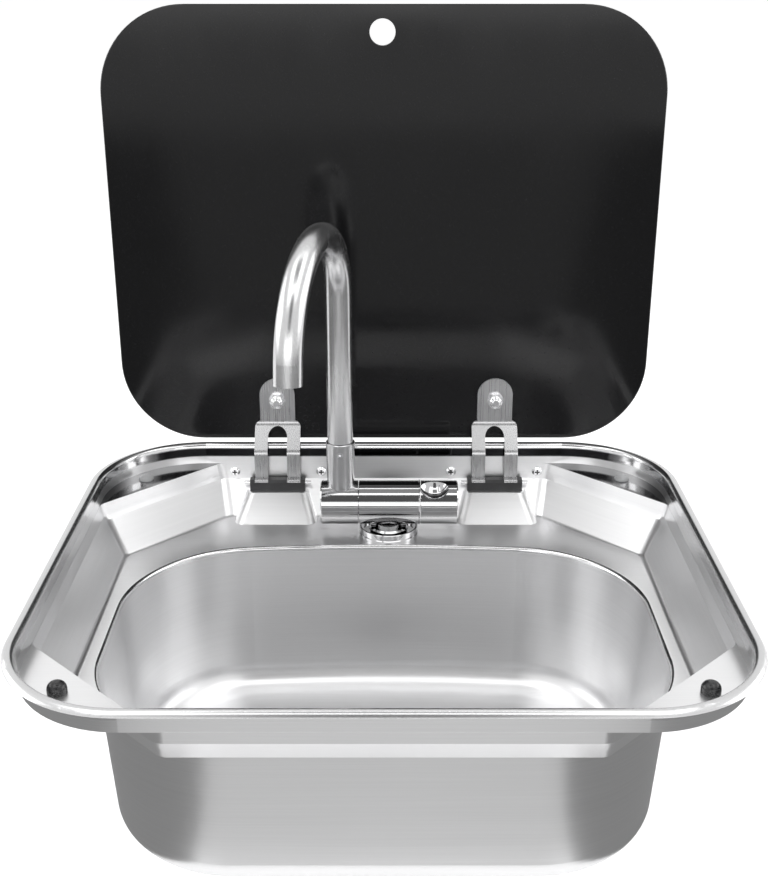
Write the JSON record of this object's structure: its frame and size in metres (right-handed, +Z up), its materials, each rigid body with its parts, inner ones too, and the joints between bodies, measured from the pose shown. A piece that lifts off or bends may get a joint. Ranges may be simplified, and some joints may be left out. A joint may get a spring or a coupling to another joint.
{
  "type": "kitchen sink with lid",
  "caption": "Drop-in steel sink for a camper kitchen with a hinged black glass lid and a folding swivel tap.",
  "frame": {"origin": "middle of the rim, in the plane of the worktop that the rim lies on", "axes": "+X to the right as the user stands, +Y away from the user towards the hinges, +Z up"},
  "size_m": [0.42, 0.3825, 0.5352],
  "materials": {
    "brushed_steel": "brushed",
    "bowl_steel": "satin brushed",
    "arm_steel": "stamped, lightly brushed",
    "plain_steel": "bright zinc or stainless",
    "chrome": "polished",
    "satin_chrome": "satin",
    "brass": "machined",
    "rubber": "matt",
    "black_plastic": "fine matt",
    "clear_plastic": "clear, glossy",
    "black_glass": "toughened, opaque black, polished"
  },
  "bodies": {
    "sink": {"deck_pressing": "brushed_steel", "bowl_shell": "bowl_steel", "rim_seal": "rubber", "hinge_block_left": "black_plastic", "hinge_block_right": "black_plastic", "hinge_pin_left": "plain_steel", "hinge_pin_right": "plain_steel", "hinge_backing_left": "plain_steel", "hinge_backing_right": "plain_steel", "hinge_block_screws": "plain_steel", "wall_screws": "plain_steel", "wall_screw_nuts": "plain_steel", "front_bumpers": "rubber", "rear_bumpers": "clear_plastic", "tap_flange": "chrome", "tap_cup": "chrome", "tap_collar": "chrome", "tap_body": "chrome", "tap_trim_ring": "chrome", "tap_shank": "brass", "tap_rubber_washer": "rubber", "tap_steel_washer": "plain_steel", "tap_nut": "brass", "tap_inlet_tail": "brass", "waste_flange": "plain_steel", "waste_gasket": "rubber", "waste_body": "black_plastic", "waste_screw": "plain_steel"},
    "lid": {"lid_arm_left": "arm_steel", "lid_arm_right": "arm_steel", "glass_lid": "black_glass", "lid_pads": "rubber", "lid_nuts": "plain_steel", "lid_bolts": "plain_steel", "lid_arm_washers": "plain_steel", "lid_glass_washers": "rubber"},
    "spout_base": {"fold_collar": "chrome", "fold_collar_cap": "chrome", "socket_set_screw": "plain_steel"},
    "spout": {"spout_tube": "satin_chrome", "spout_aerator": "black_plastic"},
    "knob": {"tap_knob": "chrome"},
    "plug": {"waste_plug": "rubber", "waste_plug_pull": "chrome"}
  },
  "joints": [
    {"name": "lid_hinge", "type": "hinge", "parent": "sink", "child": "lid", "pos_m": [0, 0.169, -0.0256], "axis": [1, 0, 0], "range_deg": [0, 90]},
    {"name": "spout_fold", "type": "hinge", "parent": "sink", "child": "spout_base", "pos_m": [0, 0.127, -0.023], "axis": [1, 0, 0], "range_deg": [0, 90]},
    {"name": "spout_swivel", "type": "hinge", "parent": "spout_base", "child": "spout", "pos_m": [-0.0314, 0.127, 0.02], "axis": [0, 0, 1], "range_deg": [-75, 100]},
    {"name": "tap_turn", "type": "hinge", "parent": "sink", "child": "knob", "pos_m": [0.04, 0.127, -0.023], "axis": [1, 0, 0], "range_deg": [0, 90]},
    {"name": "plug_lift", "type": "slide", "parent": "sink", "child": "plug", "axis": [0, 0, 1], "range_m": [0, 0.04]}
  ],
  "couplings": [
    {"joint": "spout_fold", "follows": "lid_hinge", "ratio": 1}
  ]
}
